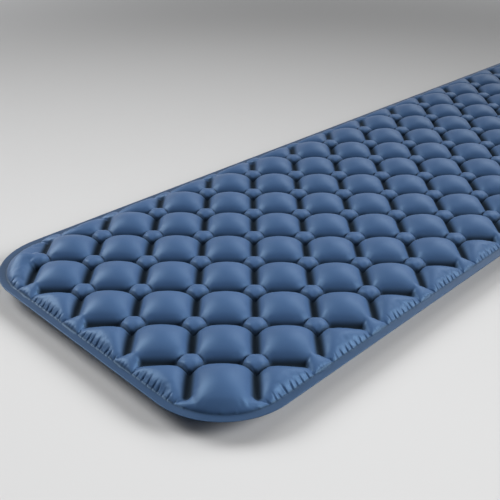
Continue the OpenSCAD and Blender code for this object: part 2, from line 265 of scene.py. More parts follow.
# Valve pieces: node, body, rounding of the edges and finish
VALVE_PIECES = (
    ("valve_base", "pad", 0.00030, "valve_plastic"),
    ("plug_tether", "pad", 0.00015, "tether_rubber"),
    ("deflate_plug", "plug", 0.00025, "plug_plastic"),
    ("plug_seal", "plug", 0.00005, "silicone"),
    ("cap_tether", "plug", 0.00015, "tether_rubber"),
    ("check_flap", "flap", 0.00010, "silicone"),
    ("inflate_cap", "cap", 0.00025, "plug_plastic"),
    ("cap_seal", "cap", 0.00005, "silicone"),
)
JOIN_GAP = 2e-6
FLAT_ANGLE = math.radians(0.5)
EDGE_ANGLE = math.radians(38)
SHARP_ANGLE = math.radians(32)
EDGE_SEGMENTS = 2

# Floor, studio wall and the room's weak light
FLOOR_HALF = 9
FLOOR_LEVEL = -0.0003
FLOOR_COLOUR = (0.66, 0.66, 0.66, 1)
FLOOR_ROUGH = 0.9
FLOOR_FADE = (1.3, 3.4)
WALL = (0.58, 0.585, 0.595, 1)
FILL_COLOUR = (0.9, 0.92, 0.95, 1)
FILL_STRENGTH = 0.05

# Lamps: place, aim, size, power and spread in degrees
LAMPS = {
    "left_lamp": ((-3.70, -1.90, 3.25), (0.7, -0.9, 0), 3.0, 34, 60),
    "right_lamp": ((-0.50, 3.05, 3.55), (0.3, -1.3, 0), 3.0, 19, 80),
    "fill_lamp": ((3.00, 1.35, 1.90), (0.3, -1.0, 0), 2.0, 15, 45),
}

# Camera: place, angles in degrees, and lens in millimetres
CAMERA_PLACE = (0.802289, -1.404725, 0.686541)
CAMERA_AZIMUTH = -44.436
CAMERA_ELEVATION = 29.514
CAMERA_ROLL = 0.692
CAMERA_LENS = 54.856
CAMERA_SENSOR = 36


# Lattice and outline, as functions of the place on the weld plane
def lattice(x, y):
    return x / HALF + ACROSS / 2, y / HALF + ALONG / 2


def round_box(x, y, grow, radius):
    qx = np.abs(x) - (ACROSS * HALF / 2 + grow - radius)
    qy = np.abs(y) - (ALONG * HALF / 2 + grow - radius)
    outside = np.hypot(np.maximum(qx, 0), np.maximum(qy, 0))
    return outside + np.minimum(np.maximum(qx, qy), 0) - radius


def rim_distance(x, y):
    return round_box(x, y, MARGIN, RIM_RADIUS)


def outline_distance(x, y):
    return round_box(x, y, MARGIN + FLANGE, OUTER_RADIUS)


# Steps to the nearer of the two corners whose pillow has no weld across it
def open_corner(u, v):
    right_near = np.abs(u - ACROSS) + np.abs(v)
    left_far = np.abs(u) + np.abs(v - ALONG)
    return np.minimum(right_near, left_far)


# Steps to the nearer of the other two corners
def round_corner(u, v):
    left_near = np.abs(u) + np.abs(v)
    right_far = np.abs(u - ACROSS) + np.abs(v - ALONG)
    return np.minimum(left_near, right_far)


def weld_distance(x, y):
    u, v = lattice(x, y)
    s = (u + v) / 2
    t = (u - v) / 2
    ds = np.abs(s - np.round(s)) * SIDE
    dt = np.abs(t - np.round(t)) * SIDE
    first = np.hypot(ds, np.maximum(0, WELD_STOP - dt))
    second = np.hypot(dt, np.maximum(0, WELD_STOP - ds))
    line = np.round(t) * 2
    across_corner = np.abs(open_corner(u, v) - 1) < OPEN_BAND
    open_line = across_corner & (line == np.where(u > ACROSS / 2, ACROSS - 1, 1 - ALONG))
    round_line = (round_corner(u, v) < ROUND_REACH) & (line % (ALONG - ACROSS) == 0)
    second = np.where(open_line | round_line, NO_WELD, second)
    return np.minimum(first, second)


# Distance to the nearest crossing of the lattice, and which one it is
def crossing(x, y):
    u, v = lattice(x, y)
    best = np.full(np.shape(x), np.inf)
    near_u = np.zeros(np.shape(x))
    near_v = np.zeros(np.shape(x))
    for odd in (0, 1):
        cu = np.clip(np.round((u - odd) / 2) * 2 + odd, odd, ACROSS - 1 + odd)
        cv = np.clip(np.round((v - odd) / 2) * 2 + odd, odd, ALONG - 1 + odd)
        gap = np.hypot(u - cu, v - cv) * HALF
        closer = gap < best
        best = np.where(closer, gap, best)
        near_u = np.where(closer, cu, near_u)
        near_v = np.where(closer, cv, near_v)
    return best, near_u, near_v


def bulge(t):
    return np.sqrt(np.clip(1 - (1 - np.clip(t, 0, 1)) ** 2, 0, 1))


def soft_step(value, low, high):
    t = np.clip((value - low) / (high - low), 0, 1)
    return t * t * (3 - 2 * t)


# Where the foot of the dome at the nearest crossing lies, and which domes run into a corner pillow
def dome_foot(x, y):
    reach, cu, cv = crossing(x, y)
    inner = (cu > 0) & (cu < ACROSS) & (cv > 0) & (cv < ALONG)
    u, v = lattice(x, y)
    dx = (u - cu) * HALF
    dy = (v - cv) * HALF
    turn = np.abs(dx * dx - dy * dy) / np.maximum(dx * dx + dy * dy, SPECK_AREA)
    foot = DOME_NEAR + (WELD_STOP - DOME_NEAR) * (1 - turn) ** DOME_TURN
    first = (cu == 1) & (cv == 1)
    last = (cu == ACROSS - 1) & (cv == ALONG - 1)
    corner = first | last
    outward = np.where(first, -dx - dy, dx + dy) / np.maximum(reach * math.sqrt(2), SPECK)
    joined = corner * soft_step(outward, 0.0, JOIN_TURN)
    return reach, inner, dx, dy, turn, foot, corner, joined


# The pillow in each round corner stands high towards the pad's end and falls away towards its side
def lean_corners(places, height):
    u, v = lattice(places[:, 0], places[:, 1])
    turned = u + v > (ACROSS + ALONG) / 2
    from_side = np.where(turned, ACROSS - u, u)
    from_end = np.where(turned, ALONG - v, v)
    out = from_side + from_end
    over = from_end - from_side
    within = 1 - soft_step(out, *CORNER_END)
    fall = soft_step(over, 0.0, FALL_RUN) * within
    crest = np.exp(-(over / CREST_WIDTH) ** 2) * soft_step(out, *CREST_START) * within
    return height * (1 - CORNER_FALL * fall + CREST_RISE * crest)


# A dome at each crossing inside the pad, parted from the pillows by creases from weld to weld
def form_domes(places, height):
    x = places[:, 0]
    y = places[:, 1]
    reach, inner, dx, dy, turn, foot, corner, joined = dome_foot(x, y)
    onto = inner & (np.abs(reach - foot) < DOME_SNAP) & (joined < JOINED)
    pull = foot / np.maximum(reach, SPECK) - 1
    places[:, 0] = np.where(onto, x + dx * pull, x)
    places[:, 1] = np.where(onto, y + dy * pull, y)
    reach = np.where(onto, foot, reach)
    level = DOME_CREASE * turn ** CREASE_SPREAD
    outside = level + np.maximum(height - level, 0) * bulge((reach - foot) / CREASE_RISE)
    part = np.clip(reach / foot, 0, 1) ** 2
    rise = np.where(corner, CORNER_DOME, DOME)
    inside = level * part + rise * np.sqrt(1 - part)
    formed = np.where(reach > foot, np.minimum(outside, height), inside)
    beyond = soft_step(reach, foot, foot + CREASE_RISE)
    ridge = rise * np.sqrt(1 - RIDGE_DROP * part) * (1 - beyond)
    formed = formed + joined * (np.maximum(height, ridge) - formed)
    return places, np.where(inner & (reach < foot + CREASE_RISE), formed, height)


# A neck at each crossing on the edge, which spreads to the flange between creases from the welds
def form_necks(places, height):
    reach, cu, cv = crossing(places[:, 0], places[:, 1])
    u, v = lattice(places[:, 0], places[:, 1])
    at_end = (cv <= 0) | (cv >= ALONG)
    at_side = (cu <= 0) | (cu >= ACROSS)
    from_end = ALONG / 2 - np.abs(v - ALONG / 2)
    from_side = ACROSS / 2 - np.abs(u - ACROSS / 2)
    deep = np.where(at_end, from_end, from_side) * HALF
    aside = np.where(at_end, u - cu, v - cv) * HALF
    outer = deep < CREASE
    flare = CREASE + (CREASE - deep) * (TAIL_HALF - CREASE) / (CREASE + MARGIN)
    line = np.where(outer, flare, deep - np.minimum(NECK_CLEAR, NECK_TAPER * (deep - CREASE)))
    off = np.abs(aside) - line
    along = np.clip((CREASE - deep) / (CREASE + MARGIN), 0, 1)
    floor = TAIL_FLOOR * np.sin(math.pi * along)
    carve = floor + (1 - floor) * bulge(off / TAIL_RISE)
    across = np.sqrt(np.clip(1 - (aside / np.maximum(line, SPECK)) ** 2, 0, 1))
    neck_end = CREASE + NECK_RUN
    top = NECK - (NECK - TAIL) * soft_step(neck_end - deep, 0, neck_end)
    flat = 1 + NECK_FLAT * soft_step(deep, CREASE, CREASE + NECK_BLEND)
    fade = 1 - soft_step(deep, CREASE + NECK_BLEND, neck_end)
    ridge = top * across ** flat * bulge((deep + MARGIN) / NECK_RISE) * fade
    inside = np.maximum(ridge, height * np.where(outer, across ** NECK_ROUND, 1))
    formed = np.where(off > 0, height * carve, inside)
    beside_open = open_corner(cu, cv) < BESIDE_CORNER
    open_side = height * np.where(outer, bulge(-off / OPEN_RISE), 1)
    formed = np.where(beside_open & (off < 0), open_side, formed)
    at_low = np.where(at_end, cv <= 0, cu <= 0)
    cornerward = beside_open & np.where(at_low, aside > 0, aside < 0)
    formed = np.where(cornerward, height, formed)
    near = (at_end ^ at_side) & (reach < NECK_REACH) & (deep < neck_end)
    near &= outer | (off < 0)
    return np.where(near, formed, height)


# Brings grid points close to a round box onto its line
def snap(x, y, grow, radius, reach):
    def distance(px, py):
        return round_box(px, py, grow, radius)

    d = distance(x, y)
    gx = (distance(x + NUDGE, y) - distance(x - NUDGE, y)) / (2 * NUDGE)
    gy = (distance(x, y + NUDGE) - distance(x, y - NUDGE)) / (2 * NUDGE)
    near = np.abs(d) < reach
    return np.where(near, x - d * gx, x), np.where(near, y - d * gy, y)


def spaced(count):
    half_count = count * GRID // 2
    inner = np.arange(-half_count, half_count + 1) * STEP
    end = inner[-1] + MARGIN
    outer = end + FLANGE * (np.arange(FLANGE_RINGS + 1) / FLANGE_RINGS)
    return np.concatenate([-outer[::-1], inner, outer])


# Height of a film held at its welds and pushed up from below, solved on the grid
def film_height(x, y, held):
    along_x = STEP / np.hypot(np.diff(x, axis=1), np.diff(y, axis=1)).clip(SHORTEST)
    along_y = STEP / np.hypot(np.diff(x, axis=0), np.diff(y, axis=0)).clip(SHORTEST)
    loose = ~held

    def pull(f):
        r = np.zeros(f.shape)
        dx = along_x * np.diff(f, axis=1)
        dy = along_y * np.diff(f, axis=0)
        r[:, 1:] += dx
        r[:, :-1] -= dx
        r[1:] += dy
        r[:-1] -= dy
        return r * loose

    own = np.zeros(x.shape)
    own[:, 1:] += along_x
    own[:, :-1] += along_x
    own[1:] += along_y
    own[:-1] += along_y
    f = np.zeros(x.shape)
    rest = loose * 1.0
    turn = rest / own
    size = np.sum(rest * turn)
    for _ in range(SOLVER_STEPS):
        p = pull(turn)
        a = size / np.sum(turn * p)
        f += a * turn
        rest -= a * p
        z = rest / own
        grown = np.sum(rest * z)
        turn = z + grown / size * turn
        size = grown
    return f


def grid_faces(index):
    corners = [index[:-1, :-1], index[:-1, 1:], index[1:, 1:], index[1:, :-1]]
    faces = []
    for four in np.stack(corners, -1).reshape(-1, 4).tolist():
        face = list(dict.fromkeys(c for c in four if c >= 0))
        if len(face) > 2:
            faces.append(face)
    return faces


# Numbers the kept grid points, with one number for points that the snapping brought together
def number_points(x, y, keep):
    index = np.full(x.shape, -1)
    index[keep] = np.arange(keep.sum())
    for axis in (0, 1):
        gap = np.hypot(np.diff(x, axis=axis), np.diff(y, axis=axis))
        low = [slice(None), slice(None)]
        high = [slice(None), slice(None)]
        low[axis] = slice(None, -1)
        high[axis] = slice(1, None)
        low = tuple(low)
        high = tuple(high)
        same = (gap < SAME_POINT) & keep[low] & keep[high]
        index[high] = np.where(same, index[low], index[high])
    used, index_of = np.unique(index, return_inverse=True)
    index = index_of.reshape(x.shape) - (1 if used[0] < 0 else 0)
    first = used[used >= 0]
    return index, first


def vertices_of(mesh):
    flat = np.empty(len(mesh.vertices) * 3, np.float32)
    mesh.vertices.foreach_get("co", flat)
    return flat.reshape(-1, 3).astype(float)


def set_vertices(mesh, places):
    mesh.vertices.foreach_set("co", places.astype(np.float32).ravel())
    mesh.update()


def new_object(name, data):
    made = bpy.data.objects.new(name, data)
    bpy.context.scene.collection.objects.link(made)
    return made


# The mesh of an object with its modifiers applied
def finished_mesh(draft):
    return bpy.data.meshes.new_from_object(
        draft.evaluated_get(bpy.context.evaluated_depsgraph_get())
    )


# The film as it comes from the mould, before it swells
def moulded_film():
    x, y = np.meshgrid(spaced(ACROSS), spaced(ALONG))
    x, y = snap(x, y, MARGIN + FLANGE, OUTER_RADIUS, SNAP_REACH)
    x, y = snap(x, y, MARGIN, RIM_RADIUS, SNAP_REACH)
    welded = (weld_distance(x, y) < WELD_HALF) | (rim_distance(x, y) > -SLACK)
    u, v = lattice(x, y)
    film = film_height(x, y, welded)
    row = np.argmin(np.abs(v[:, 0] - MIDDLE_CELL[1]))
    column = np.argmin(np.abs(u[0] - MIDDLE_CELL[0]))
    full = np.clip(film / film[row, column], 0, MOST_FULL)
    height = PILLOW * (STEEP * full ** (1 / ROUNDNESS) + (1 - STEEP) * full ** CROWN_POWER)
    keep = outline_distance(x, y) < SLACK
    index, first = number_points(x, y, keep)
    places = np.stack([x, y, height], -1)[keep][first]
    return places, grid_faces(index), welded[keep][first]


# The film swells under pressure between its welds, from a little below its moulded height
def swell(places, faces, welded):
    mesh = bpy.data.meshes.new("swelling_film")
    start = places * np.array([1, 1, SWELL_START])
    mesh.from_pydata(start.tolist(), [], faces)
    film = new_object("swelling_film", mesh)
    held = film.vertex_groups.new(name="welds")
    held.add(np.flatnonzero(welded).tolist(), 1.0, "REPLACE")
    cloth = film.modifiers.new("cloth", "CLOTH").settings
    for key, value in CLOTH.items():
        setattr(cloth, key, value)
    cloth.effector_weights.gravity = 0
    for step in range(1, SWELL_STEPS + 1):
        bpy.context.scene.frame_set(step)
    swollen = finished_mesh(film)
    bpy.context.scene.frame_set(1)
    bpy.data.objects.remove(film)
    return swollen


def refined(mesh):
    piece = new_object("refining", mesh)
    fine = piece.modifiers.new("fine", "SUBSURF")
    fine.levels = 1
    fine.render_levels = 1
    result = finished_mesh(piece)
    bpy.data.objects.remove(piece)
    return result


# The flange's inner line as points with directions along it and inward, counter-clockwise
def rim_path():
    far_x = ACROSS * HALF / 2 + MARGIN - RIM_RADIUS
    far_y = ALONG * HALF / 2 + MARGIN - RIM_RADIUS
    turns = np.linspace(0, math.pi / 2, RIM_POINTS)
    centres = [(far_x, -far_y, -0.5), (far_x, far_y, 0), (-far_x, far_y, 0.5), (-far_x, -far_y, 1)]
    points = []
    for cx, cy, start in centres:
        angle = turns + start * math.pi
        arc = [cx + RIM_RADIUS * np.cos(angle), cy + RIM_RADIUS * np.sin(angle)]
        points.append(np.stack(arc, -1))
    corners = np.concatenate(points + [points[0][:1]])
    run = np.concatenate([[0], np.cumsum(np.hypot(*np.diff(corners, axis=0).T))])
    length = np.arange(0, run[-1], RIM_STEP)
    path = np.stack([np.interp(length, run, corners[:, axis]) for axis in (0, 1)], -1)
    ahead = np.roll(path, -1, axis=0) - np.roll(path, 1, axis=0)
    ahead /= np.linalg.norm(ahead, axis=1)[:, None]
    inward = np.stack([-ahead[:, 1], ahead[:, 0]], -1)
    return path, ahead, inward


def edge_crossings():
    near = [(i, 0) for i in range(0, ACROSS, 2)]
    right = [(ACROSS, j) for j in range(1, ALONG + 1, 2)]
    far = [(i, ALONG) for i in range(ACROSS - 2, 0, -2)]
    left = [(0, j) for j in range(ALONG - 1, 0, -2)]
    return near + right + far + left


# Short puckers where the film is gathered at the flange
def puckers():
    path, ahead, inward = rim_path()
    chance = np.random.default_rng(PUCKER_SEED)
    smooth = {(0, 0), (ACROSS, ALONG)}
    open_start = {(ACROSS - 1, 0), (1, ALONG)}
    plain = smooth | open_start | {(ACROSS, 1), (0, ALONG - 1)}
    nodes = edge_crossings()
    places = []
    for i, j in nodes:
        at = np.array([(i - ACROSS / 2) * HALF, (j - ALONG / 2) * HALF])
        places.append(int(np.argmin(np.hypot(*(path - at).T))))
    found = []
    for n, start in enumerate(places):
        node = nodes[n]
        following = (n + 1) % len(nodes)
        span = (places[following] - start) % len(path)
        if node not in open_start:
            run = span - 2 * PUCKER_CLEAR
            count = max(LEAST_PUCKERS, round(run / PUCKER_PITCH))
            for k in range(count):
                part = (k + 0.5) / count
                place = start + PUCKER_CLEAR + part * run
                place += chance.uniform(-PUCKER_JITTER, PUCKER_JITTER)
                edge = min(k, count - 1 - k) / count
                depth = PUCKER_DEPTH * chance.uniform(*PUCKER_DEPTHS)
                depth *= END_DEPTH + DEPTH_GAIN * edge
                reach = chance.uniform(*PUCKER_REACHES)
                lean = chance.uniform(*PUCKER_LEANS)
                after = node in smooth and part < SMOOTH_AFTER
                before = nodes[following] in smooth and part > SMOOTH_BEFORE
                if not after and not before:
                    found.append((int(place) % len(path), depth, reach, lean))
        if node not in plain:
            for offset in NECK_PUCKERS:
                place = start + offset + chance.uniform(-NECK_PUCKER_JITTER, NECK_PUCKER_JITTER)
                lean = offset * NECK_PUCKER_LEAN
                found.append((int(place) % len(path), NECK_PUCKER_DEPTH, NECK_PUCKER_REACH, lean))
    return [(path[p], ahead[p], inward[p], depth, reach, lean) for p, depth, reach, lean in found]


def gather(places, height):
    near = np.flatnonzero(np.abs(rim_distance(places[:, 0], places[:, 1])) < GATHER_BAND)
    spot = places[near, :2]
    dip = np.zeros(len(near))
    push = np.zeros((len(near), 2))
    fold_shade_marks = np.zeros(len(near))
    for point, ahead, inward, depth, reach, lean in puckers():
        close = np.flatnonzero(np.abs(spot - point).sum(1) < PUCKER_SPAN)
        d = spot[close] - point
        a = d @ inward
        b = d @ ahead - lean * a
        rise = np.clip(a / PUCKER_START, 0, 1)
        past = np.clip(a - PUCKER_FULL, 0, None)
        fade = np.exp(-past ** 2 / (2 * (PUCKER_FADE * reach) ** 2))
        notch = np.exp(-(b / NOTCH_WIDTH) ** 2) - LIP_SHARE * np.exp(-(b / LIP_WIDTH) ** 2)
        amount = depth * rise * fade * notch
        dip[close] += amount
        push[close] += amount[:, None] * inward * PUCKER_PUSH
        # Painted shade along each pucker's fold, kept for the finish
        fold_shade = rise * fade * depth / PUCKER_DEPTH * np.exp(-(b / FOLD_SHADE_WIDTH) ** 2)
        fold_shade_marks[close] = np.maximum(fold_shade_marks[close], fold_shade)
    height[near] -= dip
    places[near, :2] += push
    fold_shades = np.zeros(len(places))
    fold_shades[near] = fold_shade_marks
    return places, height, fold_shades


def refine_edge(mesh):
    body = bmesh.new()
    body.from_mesh(mesh)
    spots = np.array([v.co[:2] for v in body.verts])
    rim = rim_distance(spots[:, 0], spots[:, 1])
    band = (rim > FINE_BAND[0]) & (rim < FINE_BAND[1])
    edges = [e for e in body.edges if band[e.verts[0].index] and band[e.verts[1].index]]
    bmesh.ops.subdivide_edges(body, edges=edges, cuts=1, use_grid_fill=True, smooth=0.0)
    body.to_mesh(mesh)
    body.free()


def point_values(mesh, name, values):
    layer = mesh.attributes.new(name, "FLOAT", "POINT")
    layer.data.foreach_set("value", np.asarray(values, np.float32))


# Painted shade along the crease round each dome, and in the pit at each weld end
def dome_crease_shade(x, y):
    reach, inner, dx, dy, _, foot, _, joined = dome_foot(x, y)
    line = CREASE_SHADE * np.exp(-((reach - foot) / CREASE_SHADE_WIDTH) ** 2)
    diagonal = np.maximum(np.abs(dx + dy), np.abs(dx - dy)) / math.sqrt(2)
    aside = np.minimum(np.abs(dx + dy), np.abs(dx - dy)) / math.sqrt(2)
    pit_shade = np.exp(-(((diagonal - WELD_STOP) / PIT_SHADE_WIDTH) ** 2 + (aside / PIT_SHADE_WIDTH) ** 2))
    return inner * (1 - joined) * np.maximum(line, pit_shade)


# Writes the weld mask and the masks of painted shade: at the flange seam, in the pucker folds, in
# the weld valleys and round the domes
def mark_welds_and_shade(mesh, places, fold_shades):
    x = places[:, 0]
    y = places[:, 1]
    beside = weld_distance(x, y)
    rim = rim_distance(x, y)
    weld = np.maximum(1 - soft_step(beside, *WELD_BAND), soft_step(rim, *FLANGE_BAND))
    point_values(mesh, "weld", weld)
    # Painted shade along the crease at the flange's inner edge
    point_values(mesh, "seam_shade", np.exp(-((rim - SEAM_SHADE_PLACE) / SEAM_SHADE_WIDTH) ** 2))
    # Painted shade in the pucker folds
    point_values(mesh, "fold_shade", fold_shades)
    reach = crossing(x, y)[0]
    # Painted shade in the weld valleys, faded out at the flange and over the domes
    valley_shade = 1 - soft_step(beside, *VALLEY_SHADE_BAND)
    valley_shade *= soft_step(-rim, *VALLEY_SHADE_RIM)
    valley_shade *= soft_step(reach, WELD_STOP - VALLEY_SHADE_END, WELD_STOP + VALLEY_SHADE_END)
    point_values(mesh, "valley_shade", np.maximum(valley_shade, dome_crease_shade(x, y)))


# Beside the round rim the heights are evened out, because the film's grid doesn't follow that curve
def even_corners(mesh, places, height):
    ends = np.empty(len(mesh.edges) * 2, np.int32)
    mesh.edges.foreach_get("vertices", ends)
    first, second = ends.reshape(-1, 2).T
    points = len(height)
    count = np.bincount(ends, minlength=points)
    u, v = lattice(places[:, 0], places[:, 1])
    rim = rim_distance(places[:, 0], places[:, 1])
    height = np.where(rim > -RIM_SLACK, 0, height)
    corner = np.minimum(open_corner(u, v), round_corner(u, v)) < BESIDE_CORNER
    share = EVEN_SHARE * corner * (rim < -RIM_SLACK) * (1 - soft_step(-rim, *EVEN_BAND))
    for _ in range(EVEN_STEPS):
        total = np.bincount(first, height[second], points)
        total = total + np.bincount(second, height[first], points)
        height = height + share * (total / count - height)
    return height


# Carries the film's border to the weld plane and closes it there with one flat face
def close_film(mesh, level):
    body = bmesh.new()
    body.from_mesh(mesh)
    border = [e for e in body.edges if e.is_boundary]
    made = bmesh.ops.extrude_edge_only(body, edges=border)["geom"]
    edges = [e for e in made if isinstance(e, bmesh.types.BMEdge)]
    for v in [v for v in made if isinstance(v, bmesh.types.BMVert)]:
        v.co.z = level
    bmesh.ops.contextual_create(body, geom=[e for e in edges if e.is_boundary])
    bmesh.ops.recalc_face_normals(body, faces=body.faces)
    for face in body.faces:
        face.smooth = len(face.verts) < CLOSING_CORNERS
    body.to_mesh(mesh)
    body.free()
    mesh.update()


def top_film(mesh):
    refine_edge(mesh)
    places = vertices_of(mesh)
    height = even_corners(mesh, places, places[:, 2])
    height = lean_corners(places, height)
    places, height = form_domes(places, height)
    height = form_necks(places, height)
    places, height, fold_shades = gather(places, height)
    height = np.maximum(height, 0)
    away = np.hypot(places[:, 0] - VALVE[0], places[:, 1] - VALVE[1])
    seat = 1 - soft_step(away, SEAT_RADIUS, SEAT_RADIUS + SEAT_FADE)
    crown = PILLOW - FILM - SEAT_CLEAR
    height = height + (crown - height) * seat
    ring = np.abs(away - BORE_RADIUS) < BORE_SNAP
    pull = BORE_RADIUS / np.maximum(away, SPECK)
    for axis in (0, 1):
        moved = VALVE[axis] + (places[:, axis] - VALVE[axis]) * pull
        places[:, axis] = np.where(ring, moved, places[:, axis])
    height = np.where((away < BORE_RADIUS) & ~ring, BORE_FLOOR - WELD_PLANE, height)
    places[:, 2] = WELD_PLANE + FILM + height
    set_vertices(mesh, places)
    mark_welds_and_shade(mesh, places, fold_shades)
    close_film(mesh, WELD_PLANE)


# The underside is the swollen film turned down, with its crowns flattened by the ground
def bottom_film(mesh):
    places = vertices_of(mesh)
    level = WELD_PLANE - FILM - UNDER_FULL * np.maximum(places[:, 2], 0)
    places[:, 2] = 0.5 * (level + np.sqrt(level * level + GROUND_ROUND * GROUND_ROUND))
    set_vertices(mesh, places)
    mark_welds_and_shade(mesh, places, np.zeros(len(places)))
    close_film(mesh, WELD_PLANE)


film_places, film_faces, film_welds = moulded_film()
bottom_mesh = swell(film_places, film_faces, film_welds)
top_mesh = refined(bottom_mesh)
top_mesh.name = "top_skin"
bottom_mesh.name = "bottom_skin"
top_film(top_mesh)
bottom_film(bottom_mesh)
top_skin = new_object("top_skin", top_mesh)
bottom_skin = new_object("bottom_skin", bottom_mesh)


# Materials: shared effects are groups that put out values that vary over a surface
def new_group(name, inputs, outputs):
    group = bpy.data.node_groups.new(name, "ShaderNodeTree")
    for label, value in inputs.items():
        socket = group.interface.new_socket(label, in_out="INPUT", socket_type="NodeSocketFloat")
        socket.default_value = value
    for label in outputs:
        group.interface.new_socket(label, in_out="OUTPUT", socket_type="NodeSocketFloat")
    return group, group.nodes.new("NodeGroupInput"), group.nodes.new("NodeGroupOutput")


def add(tree, kind, **settings):
    node = tree.nodes.new(kind)
    for key, value in settings.items():
        setattr(node, key, value)
    return node


def weave_group():
    sizes = {"Thread Scale": THREAD_SCALE, "Tone Scale": FABRIC_TONE_SCALE}
    group, given, result = new_group("film_weave", sizes, ("Weave", "Tone"))
    link = group.links.new
    place = add(group, "ShaderNodeTexCoord")
    weave = add(group, "ShaderNodeMath", operation="MAXIMUM")
    for number, direction in enumerate(("X", "Y")):
        thread = add(group, "ShaderNodeTexWave", bands_direction=direction)
        thread.inputs["Distortion"].default_value = THREAD_WANDER
        link(place.outputs["Object"], thread.inputs["Vector"])
        link(given.outputs["Thread Scale"], thread.inputs["Scale"])
        link(thread.outputs["Fac"], weave.inputs[number])
    tone = add(group, "ShaderNodeTexNoise")
    tone.inputs["Detail"].default_value = FABRIC_TONE_DETAIL
    link(place.outputs["Object"], tone.inputs["Vector"])
    link(given.outputs["Tone Scale"], tone.inputs["Scale"])
    link(weave.outputs["Value"], result.inputs["Weave"])
    link(tone.outputs["Fac"], result.inputs["Tone"])
    return group


def grain_group():
    sizes = {"Grain Scale": GRAIN_SCALE, "Tone Scale": GRAIN_TONE_SCALE}
    group, given, result = new_group("moulded_grain", sizes, ("Grain", "Tone"))
    link = group.links.new
    place = add(group, "ShaderNodeTexCoord")
    for label, scale in (("Grain", "Grain Scale"), ("Tone", "Tone Scale")):
        noise = add(group, "ShaderNodeTexNoise")
        noise.inputs["Detail"].default_value = GRAIN_DETAIL
        link(place.outputs["Object"], noise.inputs["Vector"])
        link(given.outputs[scale], noise.inputs["Scale"])
        link(noise.outputs["Fac"], result.inputs[label])
    return group


film_weave = weave_group()
moulded_grain = grain_group()


def nodes_of(name):
    material = bpy.data.materials.new(name)
    material.use_nodes = True
    tree = material.node_tree
    return material, tree, tree.nodes["Principled BSDF"]


def shade(colour, part):
    return tuple(c * part for c in colour) + (1,)


def colour_mix(tree, factor, first, second):
    mix = add(tree, "ShaderNodeMix", data_type="RGBA")
    tree.links.new(factor, mix.inputs["Factor"])
    for number, value in zip(MIX_COLOURS, (first, second)):
        if isinstance(value, tuple):
            mix.inputs[number].default_value = value
        else:
            tree.links.new(value, mix.inputs[number])
    return mix.outputs[MIX_RESULT]


def spread(tree, value, low, high):
    node = add(tree, "ShaderNodeMapRange")
    node.inputs["To Min"].default_value = low
    node.inputs["To Max"].default_value = high
    tree.links.new(value, node.inputs["Value"])
    return node.outputs["Result"]


def bumped(tree, value, strength, depth):
    bump = add(tree, "ShaderNodeBump")
    bump.inputs["Strength"].default_value = strength
    bump.inputs["Distance"].default_value = depth
    tree.links.new(value, bump.inputs["Height"])
    return bump.outputs["Normal"]


def film_material(name, colour):
    material, tree, surface = nodes_of(name)
    link = tree.links.new
    weave = add(tree, "ShaderNodeGroup", node_tree=film_weave)
    # Masks read from the film: the welds, and the painted shade at the seam, in the folds and in
    # the valleys
    masks = {}
    for mask in ("weld", "seam_shade", "fold_shade", "valley_shade"):
        masks[mask] = add(tree, "ShaderNodeAttribute", attribute_name=mask).outputs["Fac"]
    seam_shade = spread(tree, masks["seam_shade"], 0, SEAM_SHADE_COVER)
    fold_shade = spread(tree, masks["fold_shade"], 0, FOLD_SHADE_COVER)
    tones = [shade(colour, part) for part in FABRIC_TONES]
    tone = colour_mix(tree, weave.outputs["Tone"], *tones)
    pressed = colour_mix(tree, masks["weld"], tone, shade(colour, FLANGE_TONE))
    # Painted shade along the crease at the flange's inner edge
    seam_shaded = colour_mix(tree, seam_shade, pressed, shade(colour, SEAM_SHADE))
    # Painted shade in the pucker folds
    fold_shaded = colour_mix(tree, fold_shade, seam_shaded, shade(colour, FOLD_SHADE))
    # The weld valleys and the dome creases are darkened towards a near-black blue: painted shade
    deep = colour_mix(tree, masks["valley_shade"], fold_shaded, shade(VALLEY_SHADE_COLOUR, 1))
    link(deep, surface.inputs["Base Color"])
    surface.inputs["Specular IOR Level"].default_value = FILM_GLOSS
    surface.inputs["Specular Tint"].default_value = FILM_GLOSS_TINT
    dull = add(tree, "ShaderNodeMix", data_type="FLOAT")
    link(masks["valley_shade"], dull.inputs["Factor"])
    link(spread(tree, weave.outputs["Tone"], *FILM_ROUGH), dull.inputs["A"])
    dull.inputs["B"].default_value = VALLEY_ROUGH
    link(dull.outputs["Result"], surface.inputs["Roughness"])
    weave_normal = bumped(tree, weave.outputs["Weave"], WEAVE_BUMP, WEAVE_DEPTH)
    link(weave_normal, surface.inputs["Normal"])
    return material


def moulded_material(name, colour, smooth, rough, depth):
    material, tree, surface = nodes_of(name)
    link = tree.links.new
    grain = add(tree, "ShaderNodeGroup", node_tree=moulded_grain)
    tones = [shade(colour, part) for part in MOULDED_TONES]
    tone = colour_mix(tree, grain.outputs["Tone"], *tones)
    link(tone, surface.inputs["Base Color"])
    link(spread(tree, grain.outputs["Tone"], smooth, rough), surface.inputs["Roughness"])
    link(bumped(tree, grain.outputs["Grain"], GRAIN_BUMP, depth), surface.inputs["Normal"])
    return material


def surface_of(material):
    return material.node_tree.nodes["Principled BSDF"]


top_mesh.materials.append(film_material("top_fabric", FABRIC))
bottom_mesh.materials.append(film_material("bottom_fabric", UNDERSIDE))
finishes = {name: moulded_material(name, *values) for name, values in MOULDED.items()}
silicone_surface = surface_of(finishes["silicone"])
silicone_surface.inputs["Transmission Weight"].default_value = SILICONE_CLEAR
pressed_surface = surface_of(finishes["pressed_film"])
pressed_surface.inputs["Specular IOR Level"].default_value = PRESSED_GLOSS
skins = (
    (top_skin, "top_sheet", "top_fabric"),
    (bottom_skin, "bottom_sheet", "bottom_fabric"),
)
for piece, node, finish in skins:
    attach(piece, "pad")
    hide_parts(node)


